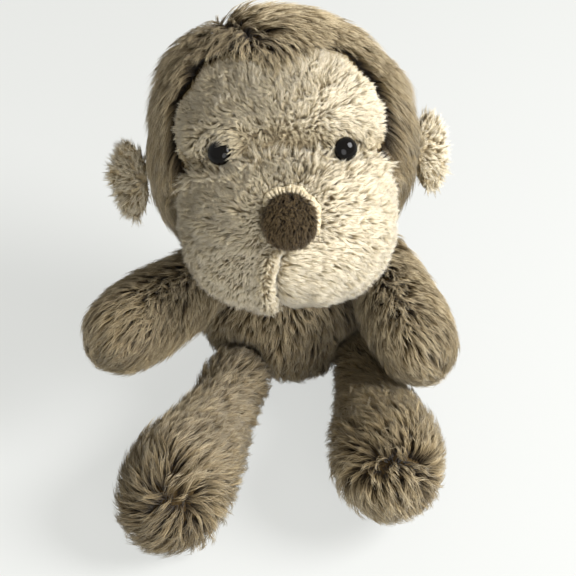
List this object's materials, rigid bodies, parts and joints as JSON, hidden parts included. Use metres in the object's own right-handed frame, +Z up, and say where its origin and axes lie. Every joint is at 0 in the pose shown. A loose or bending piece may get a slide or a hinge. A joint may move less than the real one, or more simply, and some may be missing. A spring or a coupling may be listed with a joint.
{
  "type": "plush monkey",
  "caption": "Seated stuffed monkey toy with a big cream muzzle, button eyes and soft sewn limbs, which rests on a flat seat.",
  "frame": {"origin": "middle of the flat under the seat, on the surface that the toy sits on", "axes": "+Z up, -Y the way the trunk faces, +X the toy's own left"},
  "size_m": [0.1938, 0.2229, 0.2047],
  "materials": {
    "brown_pile": "matte",
    "cream_pile": "matte",
    "dark_pile": "matte",
    "fibre_fill": "matte",
    "pouch_cloth": "matte",
    "eye_plastic": "gloss",
    "washer_plastic": "satin"
  },
  "bodies": {
    "torso": {"body_cover": "brown_pile", "body_stuffing": "fibre_fill", "seat_pouch": "pouch_cloth"},
    "neck": {"neck_stuffing": "fibre_fill"},
    "head": {"hood": "brown_pile", "face_panel": "cream_pile", "head_stuffing": "fibre_fill", "muzzle_cover": "cream_pile", "muzzle_stuffing": "fibre_fill", "nose_patch": "dark_pile", "left_eye": "eye_plastic", "right_eye": "eye_plastic", "left_eye_washer": "washer_plastic", "right_eye_washer": "washer_plastic"},
    "left_ear": {"left_ear_front": "cream_pile", "left_ear_back": "cream_pile"},
    "right_ear": {"right_ear_front": "cream_pile", "right_ear_back": "cream_pile"},
    "left_shoulder": {"left_shoulder_stuffing": "fibre_fill"},
    "left_arm": {"left_arm_cover": "brown_pile", "left_arm_stuffing": "fibre_fill"},
    "right_shoulder": {"right_shoulder_stuffing": "fibre_fill"},
    "right_arm": {"right_arm_cover": "brown_pile", "right_arm_stuffing": "fibre_fill"},
    "left_hip": {"left_hip_stuffing": "fibre_fill"},
    "left_leg": {"left_leg_cover": "brown_pile", "left_leg_stuffing": "fibre_fill"},
    "right_hip": {"right_hip_stuffing": "fibre_fill"},
    "right_leg": {"right_leg_cover": "brown_pile", "right_leg_stuffing": "fibre_fill"}
  },
  "joints": [
    {"name": "neck_turn", "type": "hinge", "parent": "torso", "child": "neck", "pos_m": [0, 0.004, 0.0775], "axis": [0, 0, 1], "range_deg": [-15, 20], "stiffness_Nm_per_rad": 0.4},
    {"name": "head_nod", "type": "hinge", "parent": "neck", "child": "head", "pos_m": [0, 0.004, 0.0775], "axis": [0.9933, -0.1155, 0], "range_deg": [-12, 5], "stiffness_Nm_per_rad": 0.8},
    {"name": "left_ear_fold", "type": "hinge", "parent": "head", "child": "left_ear", "pos_m": [0.06375, -0.00826, 0.12878], "axis": [0.0183, -0.4258, -0.9046], "range_deg": [-10, 65], "stiffness_Nm_per_rad": 0.02},
    {"name": "right_ear_fold", "type": "hinge", "parent": "head", "child": "right_ear", "pos_m": [-0.07066, 0.0035, 0.12053], "axis": [-0.0183, 0.4258, 0.9046], "range_deg": [-30, 40], "stiffness_Nm_per_rad": 0.02},
    {"name": "left_arm_spread", "type": "hinge", "parent": "torso", "child": "left_shoulder", "pos_m": [0.04675, -0.00994, 0.0625], "axis": [0, 0, 1], "range_deg": [0, 75], "stiffness_Nm_per_rad": 0.15},
    {"name": "left_arm_lift", "type": "hinge", "parent": "left_shoulder", "child": "left_arm", "pos_m": [0.04675, -0.00994, 0.0625], "axis": [-0.9945, -0.1045, 0], "range_deg": [0, 12], "stiffness_Nm_per_rad": 0.2},
    {"name": "right_arm_spread", "type": "hinge", "parent": "torso", "child": "right_shoulder", "pos_m": [-0.04675, -0.00994, 0.0625], "axis": [0, 0, -1], "range_deg": [-10, 35], "stiffness_Nm_per_rad": 0.15},
    {"name": "right_arm_lift", "type": "hinge", "parent": "right_shoulder", "child": "right_arm", "pos_m": [-0.04675, -0.00994, 0.0625], "axis": [-0.7431, 0.6691, 0], "range_deg": [-12, 8], "stiffness_Nm_per_rad": 0.2},
    {"name": "left_leg_spread", "type": "hinge", "parent": "torso", "child": "left_hip", "pos_m": [0.03453, -0.04582, 0.02], "axis": [0, 0, 1], "range_deg": [-4, 6], "stiffness_Nm_per_rad": 0.2},
    {"name": "left_leg_lift", "type": "hinge", "parent": "left_hip", "child": "left_leg", "pos_m": [0.03453, -0.04582, 0.02], "axis": [-0.9976, 0.0698, 0], "range_deg": [-6, 2], "stiffness_Nm_per_rad": 0.2},
    {"name": "right_leg_spread", "type": "hinge", "parent": "torso", "child": "right_hip", "pos_m": [-0.03453, -0.04582, 0.02], "axis": [0, 0, -1], "range_deg": [-18, 20], "stiffness_Nm_per_rad": 0.2},
    {"name": "right_leg_lift", "type": "hinge", "parent": "right_hip", "child": "right_leg", "pos_m": [-0.03453, -0.04582, 0.02], "axis": [-0.891, 0.454, 0], "range_deg": [0, 25], "stiffness_Nm_per_rad": 0.2}
  ]
}
